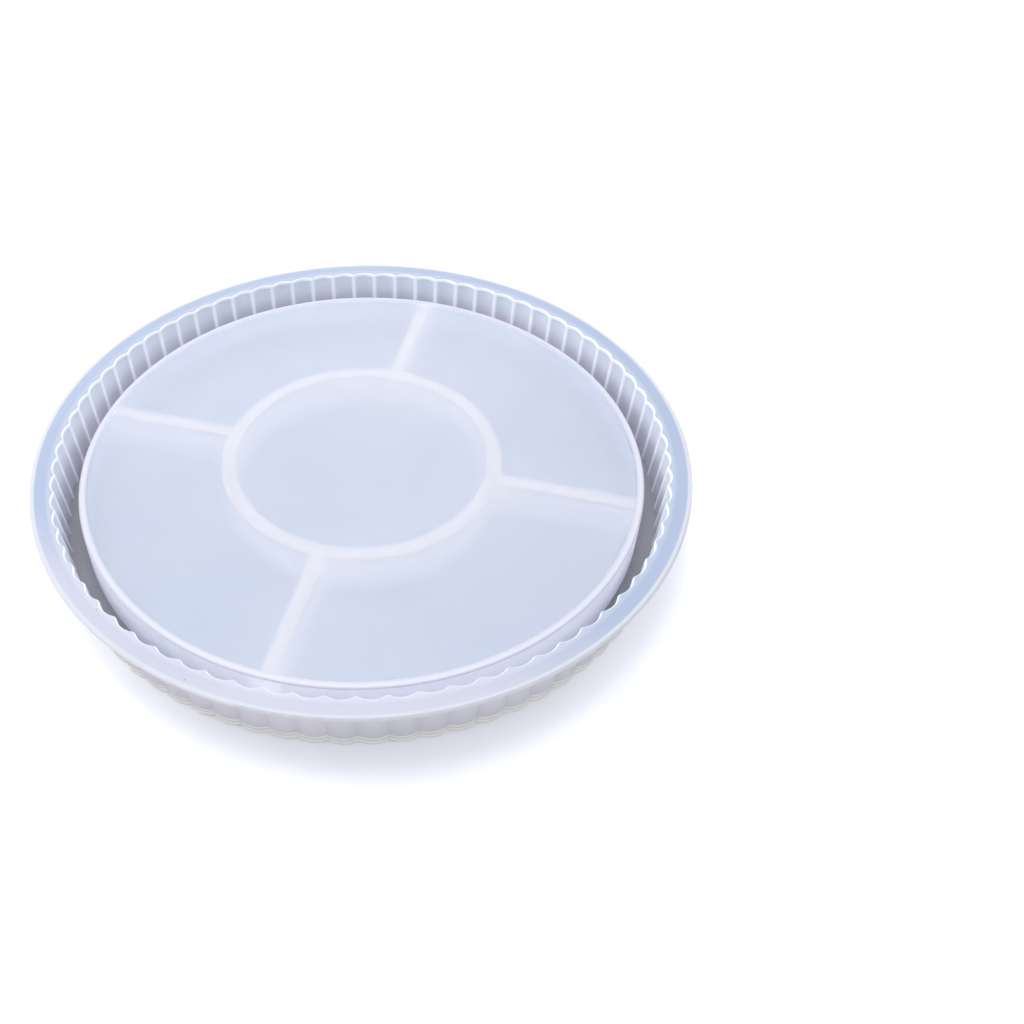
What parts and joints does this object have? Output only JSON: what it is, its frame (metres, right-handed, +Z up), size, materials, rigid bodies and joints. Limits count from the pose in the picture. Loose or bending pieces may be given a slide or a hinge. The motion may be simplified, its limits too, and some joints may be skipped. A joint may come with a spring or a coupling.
{
  "type": "resin casting mould",
  "caption": "Shallow round silicone mould: flat rim, fluted side wall, deep edge channel and a raised thin deck on ribs, for casting a tray upside down.",
  "frame": {"origin": "centre of the flat resting face, on the mould's axis", "axes": "+Z up out of the mouth; the spoke ribs under the deck lie along X and Y; -Y is the front"},
  "size_m": [0.212, 0.212, 0.0215],
  "materials": {
    "silicone": "satin, milky translucent"
  },
  "bodies": {
    "root": {"rim_flange": "silicone", "fluted_wall": "silicone", "channel_floor": "silicone", "plateau_wall": "silicone", "plateau_deck": "silicone", "deck_ring_rib": "silicone", "spoke_rib_right": "silicone", "spoke_rib_back": "silicone", "spoke_rib_left": "silicone", "spoke_rib_front": "silicone"}
  },
  "joints": []
}
